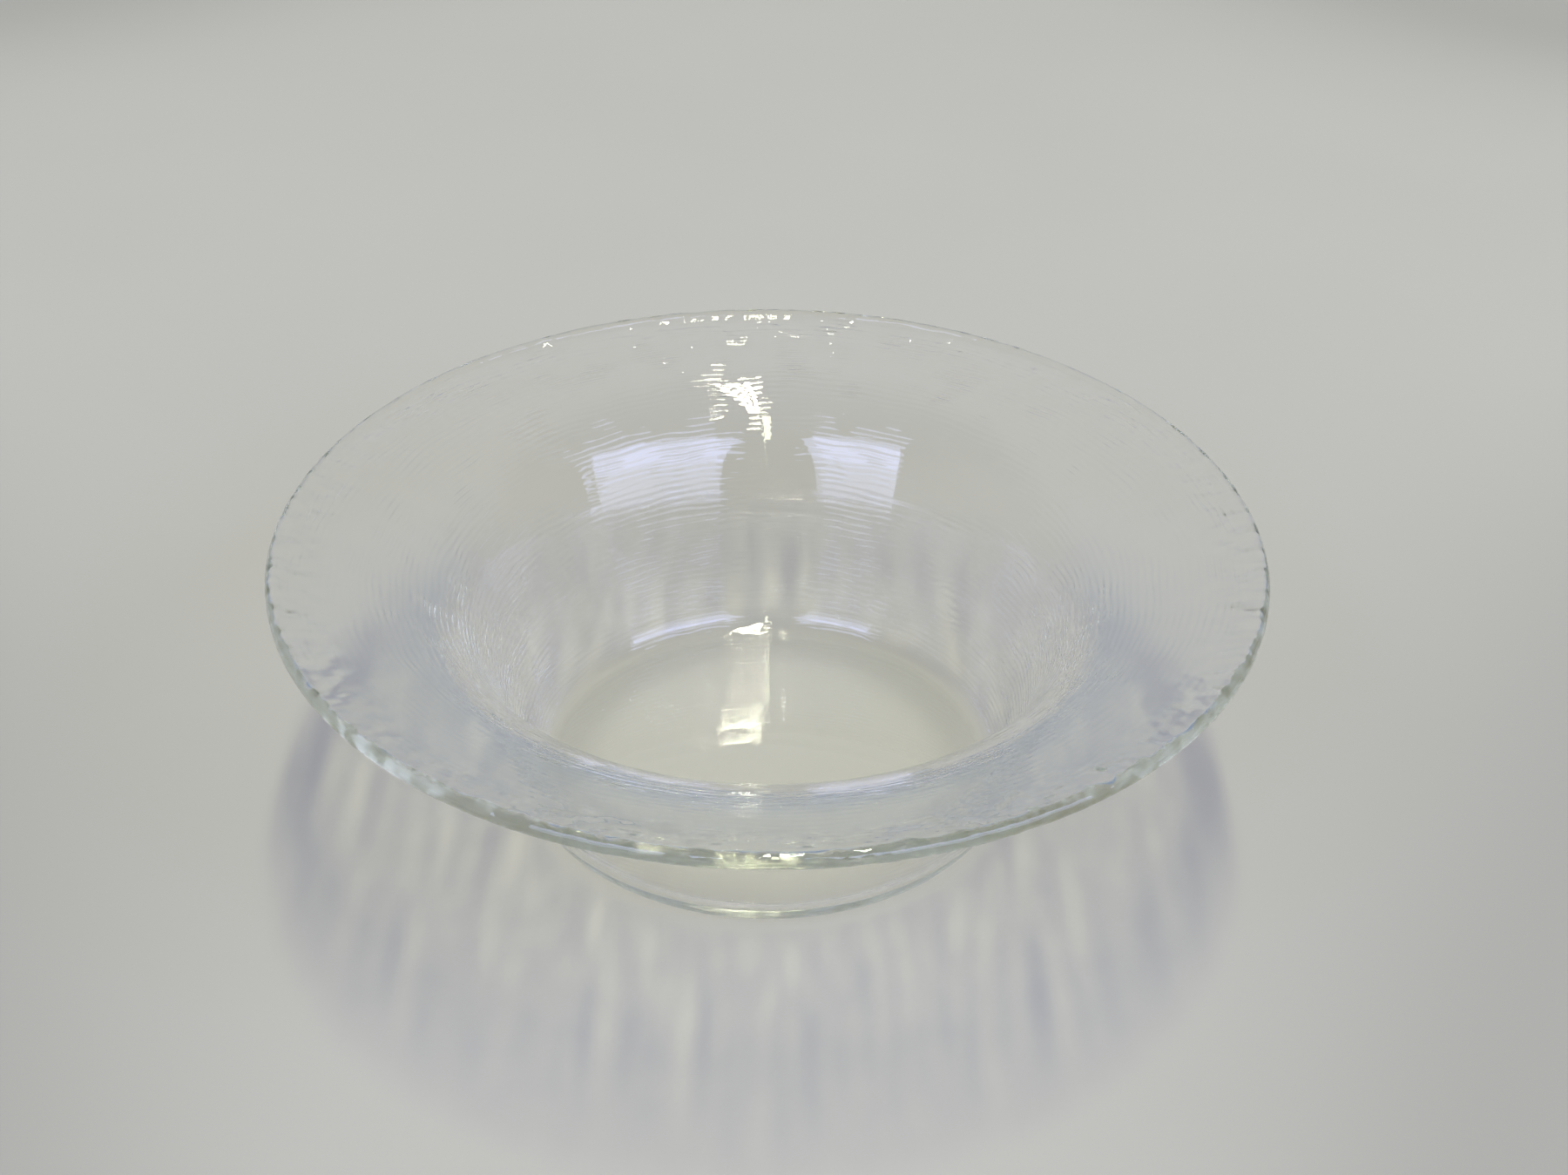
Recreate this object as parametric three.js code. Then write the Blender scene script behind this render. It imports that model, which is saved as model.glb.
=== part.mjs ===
// A wide clear glass bowl with a steep round well and a broad flared brim.
// Millimetres, +Z up, origin at the centre of the face that the bowl stands on.

import * as THREE from 'three';

// Overall sizes
const rimDiameter = 280;
const height = 84.5;

// Foot: a flat standing ring, inside which the underside sinks into a very shallow dish
const standingRingDiameter = 127;
const standingRingWidth = 7;
const dishDepth = 0.5;
const dishSlopeWidth = 40;
const floorThickness = 4.5;

// Well: the rounded heel and the steep wall above it
const heelRadius = 11;
const innerHeelRadius = 8.5;
const wallThickness = 4.5;
const wallLean = THREE.MathUtils.degToRad(14.75);

// Brim: the wall bends outward above the shoulder and ends in a thicker, fire-rounded rim
const shoulderHeight = 38;
const rimSlope = THREE.MathUtils.degToRad(13);
const flareFullness = 0.5;
const rimThickness = 4.8;
const rimSwellLength = 14;

// Fineness of the facets
const stepsAround = 80;
const heelSteps = 6;
const flareSteps = 18;
const rimSteps = 8;

const quarterTurn = Math.PI / 2;

function point(radius, z) {
  return new THREE.Vector2(radius, z);
}

// Points on an arc, both ends included.
function arc(centre, radius, fromAngle, toAngle, steps) {
  const clockwise = toAngle < fromAngle;
  const curve = new THREE.EllipseCurve(
    centre.x, centre.y, radius, radius, fromAngle, toAngle, clockwise);
  return curve.getPoints(steps);
}

// The underside: the middle of the dish, its slope and the inner edge of the standing ring.
function underside() {
  const ringInnerRadius = standingRingDiameter / 2 - standingRingWidth;
  return [
    point(0, dishDepth),
    point(ringInnerRadius - dishSlopeWidth, dishDepth),
    point(ringInnerRadius, 0),
  ];
}

// The outer heel, from the edge of the standing ring up to the steep wall.
function outerHeel() {
  const centre = point(standingRingDiameter / 2, heelRadius);
  return arc(centre, heelRadius, -quarterTurn, -wallLean, heelSteps);
}

// Radius of the wall's outer face at a height, along the straight part of the wall.
function wallRadiusAt(z) {
  const heelTop = outerHeel().at(-1);
  return heelTop.x + (z - heelTop.y) * Math.tan(wallLean);
}

// The inner heel, from the steep wall down to the flat floor.
function innerHeel() {
  const centreHeight = dishDepth + floorThickness + innerHeelRadius;
  const setback = (wallThickness + innerHeelRadius) / Math.cos(wallLean);
  const centre = point(wallRadiusAt(centreHeight) - setback, centreHeight);
  return arc(centre, innerHeelRadius, -wallLean, -quarterTurn, heelSteps);
}

function rimCentre() {
  return point(rimDiameter / 2 - rimThickness / 2, height - rimThickness / 2);
}

// The outer face of the flare, from the shoulder to the underside of the rim.
function flareCurve() {
  const shoulder = point(wallRadiusAt(shoulderHeight), shoulderHeight);
  const alongWall = point(Math.sin(wallLean), Math.cos(wallLean));
  const alongRim = point(Math.cos(rimSlope), Math.sin(rimSlope));
  const underRim = rimCentre().addScaledVector(
    point(alongRim.y, -alongRim.x), rimThickness / 2);
  const pull = flareFullness * shoulder.distanceTo(underRim);
  return new THREE.CubicBezierCurve(
    shoulder,
    shoulder.clone().addScaledVector(alongWall, pull),
    underRim.clone().addScaledVector(alongRim, -pull),
    underRim);
}

// The glass thickens from the wall to the rim over the last stretch of the flare.
function glassThicknessAt(distanceFromRim) {
  const swell = 1 - THREE.MathUtils.smoothstep(distanceFromRim, 0, rimSwellLength);
  return THREE.MathUtils.lerp(wallThickness, rimThickness, swell);
}

// Both faces of the flare, from the shoulder outward.
function flareFaces() {
  const curve = flareCurve();
  const outer = [];
  const inner = [];
  for (let step = 0; step <= flareSteps; step += 1) {
    const share = step / flareSteps;
    const onCurve = curve.getPointAt(share);
    const along = curve.getTangentAt(share);
    const thickness = glassThicknessAt((1 - share) * curve.getLength());
    outer.push(onCurve);
    inner.push(onCurve.clone().addScaledVector(point(-along.y, along.x), thickness));
  }
  return { outer, inner };
}

// The round edge of the rim, without the two points that it shares with the flare's faces.
function rimEdge() {
  const fromAngle = rimSlope - quarterTurn;
  const toAngle = rimSlope + quarterTurn;
  return arc(rimCentre(), rimThickness / 2, fromAngle, toAngle, rimSteps).slice(1, -1);
}

function section() {
  const flare = flareFaces();
  return [
    ...underside(),
    ...outerHeel(),
    ...flare.outer,
    ...rimEdge(),
    ...flare.inner.reverse(),
    ...innerHeel(),
    point(0, dishDepth + floorThickness),
  ];
}

function glassBowl() {
  const geometry = new THREE.LatheGeometry(section(), stepsAround);
  geometry.rotateX(quarterTurn);
  const glass = new THREE.MeshStandardMaterial({
    color: 0xdce8e2,
    roughness: 0.04,
    metalness: 0,
    transparent: true,
    opacity: 0.4,
  });
  const mesh = new THREE.Mesh(geometry, glass);
  mesh.name = 'glass_bowl';
  return mesh;
}

const bowl = new THREE.Group();
bowl.add(glassBowl());

export default bowl;
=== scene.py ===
import math

import bmesh
import bpy
from mathutils import Matrix, Vector, noise
from mathutils.geometry import interpolate_bezier


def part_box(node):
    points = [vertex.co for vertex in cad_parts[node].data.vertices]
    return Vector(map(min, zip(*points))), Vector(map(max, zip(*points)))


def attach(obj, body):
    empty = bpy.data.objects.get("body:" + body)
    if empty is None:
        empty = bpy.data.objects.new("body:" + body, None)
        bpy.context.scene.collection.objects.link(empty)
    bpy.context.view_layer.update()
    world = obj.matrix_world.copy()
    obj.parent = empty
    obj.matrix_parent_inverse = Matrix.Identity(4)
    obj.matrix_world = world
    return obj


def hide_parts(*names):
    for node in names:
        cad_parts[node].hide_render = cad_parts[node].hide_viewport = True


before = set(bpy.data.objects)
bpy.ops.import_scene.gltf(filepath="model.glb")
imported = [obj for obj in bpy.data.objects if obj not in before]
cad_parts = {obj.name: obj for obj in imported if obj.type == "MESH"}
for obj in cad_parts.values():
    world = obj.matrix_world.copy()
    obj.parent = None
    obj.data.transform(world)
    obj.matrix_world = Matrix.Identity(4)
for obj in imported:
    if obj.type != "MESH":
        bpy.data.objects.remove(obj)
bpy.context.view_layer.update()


# The bowl
# One piece of clear soda-lime glass, spun while hot: the turning left fine rings in its faces,
# the tools left long shallow flutes and dimples, and the edge was melted round in the fire.

box_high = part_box("glass_bowl")[1]
top_clearance = 0.00005
rim_radius = box_high.x
rim_top = box_high.z - top_clearance

ring_radius = 0.0635
ring_width = 0.007
dish_depth = 0.0005
dish_slope_width = 0.05
floor_thickness = 0.0045
heel_radius = 0.011
inner_heel_radius = 0.0085
wall_thickness = 0.0045
wall_lean = math.radians(14.75)
shoulder_height = 0.038
rim_slope = math.radians(13)
flare_fullness = 0.5
rim_thickness = 0.0048
rim_swell_length = 0.014

steps_around = 500
dish_steps = 12
ring_steps = 3
outer_heel_steps = 14
inner_heel_steps = 12
outer_wall_steps = 9
inner_wall_steps = 8
flare_points = 56
rim_steps = 14
floor_steps = 8


def section_point(radius, z):
    return Vector((radius, 0, z))


def arc(centre, radius, start, end, steps):
    """Points on an arc of the section, both ends included."""
    turns = (start + (end - start) * step / steps for step in range(steps + 1))
    return [centre + radius * section_point(math.cos(turn), math.sin(turn)) for turn in turns]


def straight(start, end, steps):
    """Points from one end towards the other, without the last."""
    return [start.lerp(end, step / steps) for step in range(steps)]


def left_of(direction):
    return section_point(-direction.z, direction.x)


def smooth_step(value, low, high):
    share = min(max((value - low) / (high - low), 0), 1)
    return share * share * (3 - 2 * share)


def flare_faces(shoulder):
    """Both faces of the flare, from the shoulder outward, with the glass thickening to the rim."""
    along_wall = section_point(math.sin(wall_lean), math.cos(wall_lean))
    along_rim = section_point(math.cos(rim_slope), math.sin(rim_slope))
    under_rim = rim_centre - left_of(along_rim) * rim_thickness / 2
    pull = flare_fullness * (under_rim - shoulder).length
    outer = interpolate_bezier(
        shoulder, shoulder + along_wall * pull, under_rim - along_rim * pull, under_rim,
        flare_points)
    directions = [(after - before).normalized() for before, after in zip(outer, outer[2:])]
    directions = [along_wall, *directions, along_rim]
    inner = []
    for place, direction in zip(outer, directions):
        swell = 1 - smooth_step((under_rim - place).length, 0, rim_swell_length)
        thickness = wall_thickness + (rim_thickness - wall_thickness) * swell
        inner.append(place + left_of(direction) * thickness)
    return outer, inner


def dish_point(radius):
    depth = dish_depth * (1 - smooth_step(radius, ring_inner - dish_slope_width, ring_inner))
    return section_point(radius, depth)


rim_centre = section_point(rim_radius - rim_thickness / 2, rim_top - rim_thickness / 2)
ring_inner = ring_radius - ring_width
floor_top = dish_depth + floor_thickness
quarter = math.pi / 2

outer_heel_centre = section_point(ring_radius, heel_radius)
outer_heel = arc(outer_heel_centre, heel_radius, -quarter, -wall_lean, outer_heel_steps)
heel_top = outer_heel[-1]


def wall_radius_at(z):
    return heel_top.x + (z - heel_top.z) * math.tan(wall_lean)


inner_heel_height = floor_top + inner_heel_radius
inner_heel_centre = section_point(
    wall_radius_at(inner_heel_height) - (wall_thickness + inner_heel_radius) / math.cos(wall_lean),
    inner_heel_height)
inner_heel = arc(inner_heel_centre, inner_heel_radius, -wall_lean, -quarter, inner_heel_steps)
shoulder = section_point(wall_radius_at(shoulder_height), shoulder_height)
flare_outer, flare_inner = flare_faces(shoulder)
rim_edge = arc(
    rim_centre, rim_thickness / 2, rim_slope - quarter, rim_slope + quarter, rim_steps)[1:-1]

section = [
    *(dish_point(ring_inner * step / dish_steps) for step in range(dish_steps)),
    *straight(section_point(ring_inner, 0), section_point(ring_radius, 0), ring_steps),
    *outer_heel[:-1],
    *straight(heel_top, shoulder, outer_wall_steps),
    *flare_outer,
    *rim_edge,
    *reversed(flare_inner[1:]),
    *straight(flare_inner[0], inner_heel[0], inner_wall_steps),
    *inner_heel[:-1],
    *straight(inner_heel[-1], section_point(0, floor_top), floor_steps),
    section_point(0, floor_top),
]

glass = bmesh.new()
corners = [glass.verts.new(place) for place in section]
edges = [glass.edges.new(pair) for pair in zip(corners, corners[1:])]
bmesh.ops.spin(
    glass, geom=corners + edges, cent=(0, 0, 0), axis=(0, 0, 1), angle=2 * math.pi,
    steps=steps_around, use_merge=True, use_duplicate=False)
bmesh.ops.remove_doubles(glass, verts=glass.verts, dist=1e-6)
bmesh.ops.recalc_face_normals(glass, faces=glass.faces)
glass.normal_update()

# The flutes run up the wall, the low waves run round it, and the dimples lie near the rim. They
# fade out towards the floor and the foot, and nothing bulges outward at the very edge.
flute_depth = 0.00005
outer_flute_factor = 2
flutes_to_radian = 12
flute_length = 0.07
wave_depth = 0.00005
wave_length = 0.012
wave_width = 0.06
dimple_depth = 0.00032
dimple_size = 0.0058
inner_pattern_shift = 17.3
even_within = 0.058
uneven_beyond = 0.07
even_below = 0.001
uneven_above = 0.006
dimples_from = 0.122
dimples_full_from = 0.134
most_bulge = 0.0004
bulges_fade_within = 0.006
no_bulge_within = 0.003


def unevenness(place, is_outer):
    """How far a point of the faces stands out: flutes, low waves, and dimples near the rim."""
    side = 0 if is_outer else inner_pattern_shift
    radius = math.hypot(place.x, place.y)
    if radius < even_within or place.z < even_below:
        return 0
    along = radius + place.z
    turn = Vector((place.x, place.y, 0)) * (flutes_to_radian / radius)
    flute = noise.noise(turn + Vector((0, 0, along / flute_length + side)))
    wave = noise.noise(
        Vector((place.x / wave_width, place.y / wave_width, along / wave_length + side)))
    dimple = noise.noise(place / dimple_size + Vector((0, 0, side)))
    near_rim = smooth_step(radius, dimples_from, dimples_full_from)
    on_wall = (smooth_step(radius, even_within, uneven_beyond)
               * smooth_step(place.z, even_below, uneven_above))
    flute_factor = outer_flute_factor if is_outer else 1
    depth = (flute_depth * flute * flute_factor + wave_depth * wave
             + dimple_depth * dimple * near_rim)
    room = most_bulge * (1 - smooth_step(
        radius, rim_radius - bulges_fade_within, rim_radius - no_bulge_within))
    return min(depth * on_wall, room)


outer_face_layer = glass.verts.layers.float.new("outer_face")
for corner in glass.verts:
    is_outer = corner.normal.z < 0
    corner[outer_face_layer] = 1.0 if is_outer else 0.0
    corner.co += corner.normal * unevenness(corner.co, is_outer)

glass_mesh = bpy.data.meshes.new("clear_glass_bowl")
glass.to_mesh(glass_mesh)
glass.free()
glass_mesh.shade_smooth()
bowl = bpy.data.objects.new("clear_glass_bowl", glass_mesh)
bpy.context.scene.collection.objects.link(bowl)


class Value:
    """A value on its way through a material's nodes; Python's operators add the Math nodes."""

    def __init__(self, tree, socket):
        self.tree = tree
        self.socket = socket

    def node(self, kind, settings=None, sockets=None, output=0):
        """Any node: its settings are made first, then its sockets get values or links."""
        made = self.tree.nodes.new(kind)
        for name, setting in (settings or {}).items():
            setattr(made, name, setting)
        for name, given in (sockets or {}).items():
            if isinstance(given, Value):
                self.tree.links.new(given.socket, made.inputs[name])
            else:
                made.inputs[name].default_value = given
        return Value(self.tree, made.outputs[output])

    def math(self, operation, *sockets):
        return self.node("ShaderNodeMath", {"operation": operation}, dict(enumerate(sockets)))

    def __add__(self, other):
        return self.math("ADD", self, other)

    def __radd__(self, other):
        return self.math("ADD", other, self)

    def __sub__(self, other):
        return self.math("SUBTRACT", self, other)

    def __rsub__(self, other):
        return self.math("SUBTRACT", other, self)

    def __mul__(self, other):
        return self.math("MULTIPLY", self, other)

    def __rmul__(self, other):
        return self.math("MULTIPLY", other, self)

    def __truediv__(self, other):
        return self.math("DIVIDE", self, other)

    def __pow__(self, other):
        return self.math("POWER", self, other)

    def part(self, axis):
        """The X, Y or Z of this vector."""
        return self.node("ShaderNodeSeparateXYZ", None, {0: self}, axis)

    def fade(self, low, high):
        """0 below low, 1 above high, smooth between."""
        return self.node(
            "ShaderNodeMapRange", {"interpolation_type": "SMOOTHSTEP"},
            {"Value": self, "From Min": low, "From Max": high, "To Min": 0.0, "To Max": 1.0})

    def noise(self, scale, detail=0.0, roughness=0.5):
        """Noise at this place, with a given number of cells to the unit."""
        return self.node("ShaderNodeTexNoise", None, {
            "Vector": self, "Scale": scale, "Detail": detail, "Roughness": roughness})

    def mixed(self, low, high):
        """A colour between two others, by this value."""
        return self.node(
            "ShaderNodeMix", {"data_type": "RGBA"}, {"Factor": self, 6: low, 7: high}, 2)


def start_material(name):
    material = bpy.data.materials.new(name)
    material.use_nodes = True
    material.node_tree.nodes.clear()
    return material, Value(material.node_tree, None)


glass_material, make = start_material("spun_clear_glass")
place = make.node("ShaderNodeTexCoord", output="Object")
across = place.part("X")
forward = place.part("Y")
upward = place.part("Z")
radius = (across * across + forward * forward) ** 0.5
along = radius + upward


def turned_noise(cells_to_radian, pitch, detail):
    """Noise that follows the bowl's turning, with its own pitch along the section."""
    vector = make.node("ShaderNodeCombineXYZ", None, {
        "X": across / radius * cells_to_radian, "Y": forward / radius * cells_to_radian,
        "Z": along / pitch})
    return vector.noise(1.0, detail)


# The fine ridges that the turning left: they wander a little, come and go in patches, and are
# fainter on the inner face and on the side towards the viewer. The rim has small uneven cells.
ridge_pitch = 0.0026
ridge_wander = 1.6
inner_ridge_height = 0.000003
inner_patch_height = 0.000006
outer_ridge_height = 0.000015
outer_patch_height = 0.00003
flare_patch_height = 0.00003
ridges_lost_on_brim = 0.3
near_side_share = 0.22
rim_cells_to_metre = 140.0
rim_cell_height = 0.0006

turns = along / ridge_pitch + ridge_wander * turned_noise(5.0, 0.011, 1.0)
ridges = make.math("SINE", 2 * math.pi * turns)
ridge_patches = turned_noise(9.0, 0.012, 1.0).fade(0.42, 0.72)
on_wall = radius.fade(even_within, 0.075)
near_rim = radius.fade(0.12, dimples_full_from)
rim_cells = place.noise(rim_cells_to_metre, 1.0, 0.4)
on_flare = radius.fade(0.088, 0.1)
on_brim = radius.fade(0.104, 0.118)
far_side = near_side_share + (1 - near_side_share) * forward.fade(-0.075, -0.005)
outer_face = make.node("ShaderNodeAttribute", {"attribute_name": "outer_face"}, output="Fac")
patch_height = outer_patch_height + flare_patch_height * on_flare
ridge_height = (inner_ridge_height + inner_patch_height * ridge_patches
                + outer_face * (outer_ridge_height + patch_height * ridge_patches))
relief = (ridges * ridge_height * on_wall * far_side * (1 - ridges_lost_on_brim * on_brim)
          + rim_cells * rim_cell_height * near_rim)
bump = make.node("ShaderNodeBump", None, {"Height": relief, "Strength": 1.0, "Distance": 1.0})

# Scuffs on the ring that the bowl stands on and a little way inside it, in a few spots.
scuff_roughness = 0.35
under_ring = (radius.fade(0.046, 0.051) * (1 - radius.fade(0.059, ring_radius))
              * (1 - upward.fade(0.0006, 0.0014)))
scuff_spots = place.noise(60.0, 1.0).fade(0.58, 0.68)
scuffs = place.noise(420.0, 3.0, 0.6).fade(0.55, 0.7) * scuff_spots * under_ring

glass_surface = make.node("ShaderNodeBsdfPrincipled", None, {
    "Base Color": (1, 1, 1, 1), "Roughness": scuffs * scuff_roughness, "IOR": 1.52,
    "Transmission Weight": 1.0, "Normal": bump})
glass_body = make.node("ShaderNodeVolumeAbsorption", None, {
    "Color": (0.65, 0.67, 0.45, 1), "Density": 2.7})

# Light that falls through the glass onto the table, painted into the glass's see-through share
# instead of bent by it: less of it where it meets a face at a slant, least of it through the round
# rim, and painted streaks of light and shadow outside the well, where uneven glass would gather
# and spread it.
most_light = 1.4
face_share = 0.957
lost_at_slant = 0.7
well_share = 1.1
lost_in_brim = 0.22
lost_in_rim = 0.3
lost_in_heel = 0.1
painted_streak_strength = 0.8
slant = make.node("ShaderNodeLayerWeight", None, {"Blend": 0.5}, "Facing")
through_face = face_share * (1 - lost_at_slant * slant ** 5)
through_body = (well_share - lost_in_brim * radius.fade(0.068, 0.1)
                - lost_in_rim * radius.fade(0.1275, 0.1305))
through_heel = 1 - lost_in_heel * radius.fade(0.046, 0.06) * (1 - radius.fade(0.064, 0.072))
seen_from_above = make.node("ShaderNodeCombineXYZ", None, {"X": across, "Y": forward, "Z": 0.0})
# Painted streaks of light and shadow in the share, from noise seen from above.
painted_streaks = seen_from_above.noise(150.0, 1.0, 0.4).fade(0.33, 0.67)
through_painted_streaks = 1 + painted_streak_strength * (painted_streaks - 0.5) * radius.fade(0.07, 0.085)
share = through_face * through_body * through_heel * through_painted_streaks
stopped = make.node("ShaderNodeBsdfTransparent", None, {"Color": (0, 0, 0, 1)})
brightest_passing = make.node("ShaderNodeBsdfTransparent", None, {
    "Color": (most_light, most_light, 1.365, 1)})
fallen_light = make.node("ShaderNodeMixShader", None, {
    0: share / most_light, 1: stopped, 2: brightest_passing})
on_its_way = make.math(
    "MAXIMUM", make.node("ShaderNodeLightPath", output="Is Shadow Ray"),
    make.node("ShaderNodeLightPath", output="Is Diffuse Ray"))
whole_glass = make.node("ShaderNodeMixShader", None, {
    0: on_its_way, 1: glass_surface, 2: fallen_light})
output = glass_material.node_tree.nodes.new("ShaderNodeOutputMaterial")
glass_material.node_tree.links.new(whole_glass.socket, output.inputs["Surface"])
glass_material.node_tree.links.new(glass_body.socket, output.inputs["Volume"])
glass_mesh.materials.append(glass_material)

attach(bowl, "root")
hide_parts("glass_bowl")


# The table top
# A wide round board with pale matt paint, which lies a hair below the standing ring. The paint
# has a faint grain, and painted shade makes it a little darker to the left and right, where less
# light falls.

board_radius = 9
board_gap = 0.0003
darker_paint = (0.526, 0.504, 0.442, 1)
lighter_paint = (0.54, 0.518, 0.456, 1)
# The colour of the painted shade beside the bowl.
painted_shade_colour = (0.415, 0.398, 0.35, 1)

board_mesh = bpy.data.meshes.new("pale_table")
board = bmesh.new()
bmesh.ops.create_circle(board, cap_ends=True, segments=96, radius=board_radius)
bmesh.ops.translate(board, verts=board.verts, vec=(0, 0, -board_gap))
board.to_mesh(board_mesh)
board.free()
table = bpy.data.objects.new("pale_table", board_mesh)
bpy.context.scene.collection.objects.link(table)

table_material, make = start_material("pale_matt_table")
place = make.node("ShaderNodeTexCoord", output="Object")
grain = place.noise(900.0, 2.0, 0.6)
clouds = place.noise(6.0, 2.0)
board_colour = (clouds.fade(0.3, 0.7) * 0.7 + grain.fade(0.3, 0.7) * 0.3).mixed(
    darker_paint, lighter_paint)

# Painted shade: darker to both sides, the more so towards the viewer, but not far off from the
# bowl.
beside = place.part("X")
in_front = place.part("Y")
off_middle = beside + 0.01
painted_shade_share = (off_middle * off_middle
            * (1.6 - 8 * in_front + 10 * in_front * in_front)).fade(0.0, 0.12)
far_off = (beside * beside + in_front * in_front).fade(0.4, 1.5)
painted_shade_share = painted_shade_share * (1 - far_off)
board_colour = painted_shade_share.mixed(board_colour, painted_shade_colour)
board_bump = make.node("ShaderNodeBump", None, {
    "Height": grain, "Strength": 0.1, "Distance": 0.0001})
table_surface = make.node("ShaderNodeBsdfPrincipled", None, {
    "Base Color": board_colour, "Roughness": 0.7, "Specular IOR Level": 0.2,
    "Normal": board_bump})
output = table_material.node_tree.nodes.new("ShaderNodeOutputMaterial")
table_material.node_tree.links.new(table_surface.socket, output.inputs["Surface"])
board_mesh.materials.append(table_material)


# The light
# A ceiling lamp with three tubes hangs overhead. Behind the camera are a narrow ceiling strip,
# two cool windows and a lamp low over the table, and round it all is a plain pale room.

ceiling_height = 5.4
bowl_middle = (0, 0, 0.05)


def panel(name, size, radiance, location, aim):
    """A flat lamp that faces its aim and isn't seen by the camera itself."""
    data = bpy.data.lights.new(name, "AREA")
    data.shape = "RECTANGLE"
    data.size, data.size_y = size
    brightest = max(radiance)
    data.color = [part / brightest for part in radiance]
    data.energy = brightest * size[0] * size[1] * math.pi
    lamp = bpy.data.objects.new(name, data)
    bpy.context.scene.collection.objects.link(lamp)
    facing = (Vector(location) - Vector(aim)).to_track_quat("Z", "Y")
    lamp.matrix_world = Matrix.Translation(location) @ facing.to_matrix().to_4x4()
    lamp.visible_camera = False
    return lamp


for number, tube_x in enumerate((0.17, 0.27, 0.37)):
    panel(f"ceiling_tube_{number + 1}", size=(0.058, 3.1), radiance=(74.0, 75.0, 54.0),
          location=(tube_x, 0.1, ceiling_height), aim=(tube_x, 0.1, 0))
panel("ceiling_strip", size=(0.14, 3.9), radiance=(15.0, 15.3, 11.0),
      location=(0.03, -3.6, ceiling_height), aim=(0.03, -3.6, 0))
panel("right_window_top", size=(8.35, 3.3), radiance=(3.1, 3.4, 5.6),
      location=(5.24, -5.18, 6.0), aim=bowl_middle)
panel("right_window_foot", size=(8.35, 3.5), radiance=(1.9, 2.05, 3.0),
      location=(6.29, -6.24, 3.0), aim=bowl_middle)
panel("left_window_top", size=(5.15, 3.3), radiance=(3.0, 3.3, 5.3),
      location=(-4.23, -5.99, 6.0), aim=bowl_middle)
panel("left_window_foot", size=(5.15, 3.5), radiance=(1.9, 2.05, 3.0),
      location=(-5.05, -7.23, 3.0), aim=bowl_middle)
table_lamp = panel("front_table_lamp", size=(6.0, 2.6), radiance=(3.0, 3.05, 2.9),
                   location=(0, -3.0, 1.2), aim=(0, -3.0, 0))
table_lamp.data.spread = math.radians(70)

# The room: its far wall, its side walls, and the near wall with a bright ledge below the
# windows. The camera itself sees one plain tone.
world = bpy.data.worlds.new("room")
bpy.context.scene.world = world
world.use_nodes = True
world.node_tree.nodes.clear()
make = Value(world.node_tree, None)
direction = make.node("ShaderNodeTexCoord", output="Generated")
sideways = direction.part("X")
ahead = direction.part("Y")
above = direction.part("Z")
side_wall = (sideways * sideways).fade(0.3, 0.7)
far_foot = side_wall.mixed((0.19, 0.27, 0.4, 1), (0.24, 0.24, 0.19, 1))
far_wall = above.fade(0.1, 0.85).mixed(far_foot, (0.48, 0.48, 0.457, 1))
ledge = above.fade(0.068, 0.078) * (1 - above.fade(0.092, 0.102))
near_foot = side_wall.mixed((0.1, 0.1, 0.095, 1), (0.28, 0.27, 0.23, 1))
near_wall = ledge.mixed(near_foot, (0.9, 0.92, 0.96, 1))
room_colour = ahead.fade(0.2, 0.5).mixed(near_wall, far_wall)
seen_straight = make.node("ShaderNodeLightPath", output="Is Camera Ray")
room_colour = seen_straight.mixed(room_colour, (0.47, 0.475, 0.45, 1))
output = world.node_tree.nodes.new("ShaderNodeOutputWorld")
room = make.node("ShaderNodeBackground", None, {"Color": room_colour, "Strength": 1.0})
world.node_tree.links.new(room.socket, output.inputs["Surface"])


# The camera
# It looks down at the bowl from the front, 0.43 m above the table top. Light in the rim runs
# far round inside the glass before it comes out, so it gets many bounces.

camera_place = (0.00453, -0.53914, 0.4289)
camera_tilt = math.radians(56.04)
camera_roll = math.radians(0.66)
most_bounces = 160

camera_data = bpy.data.cameras.new("camera")
camera_data.lens = 52
camera_data.sensor_width = 36
camera_data.clip_start = 0.01
camera = bpy.data.objects.new("camera", camera_data)
bpy.context.scene.collection.objects.link(camera)
camera.matrix_world = (
    Matrix.Translation(camera_place)
    @ Matrix.Rotation(camera_tilt, 4, "X")
    @ Matrix.Rotation(camera_roll, 4, "Z"))
bpy.context.scene.camera = camera

bpy.context.scene.view_settings.view_transform = "Standard"
bpy.context.scene.cycles.max_bounces = most_bounces
bpy.context.scene.cycles.transmission_bounces = most_bounces
bpy.context.scene.cycles.glossy_bounces = most_bounces
bpy.context.scene.cycles.blur_glossy = 0
bpy.context.scene.cycles.sample_clamp_indirect = 0
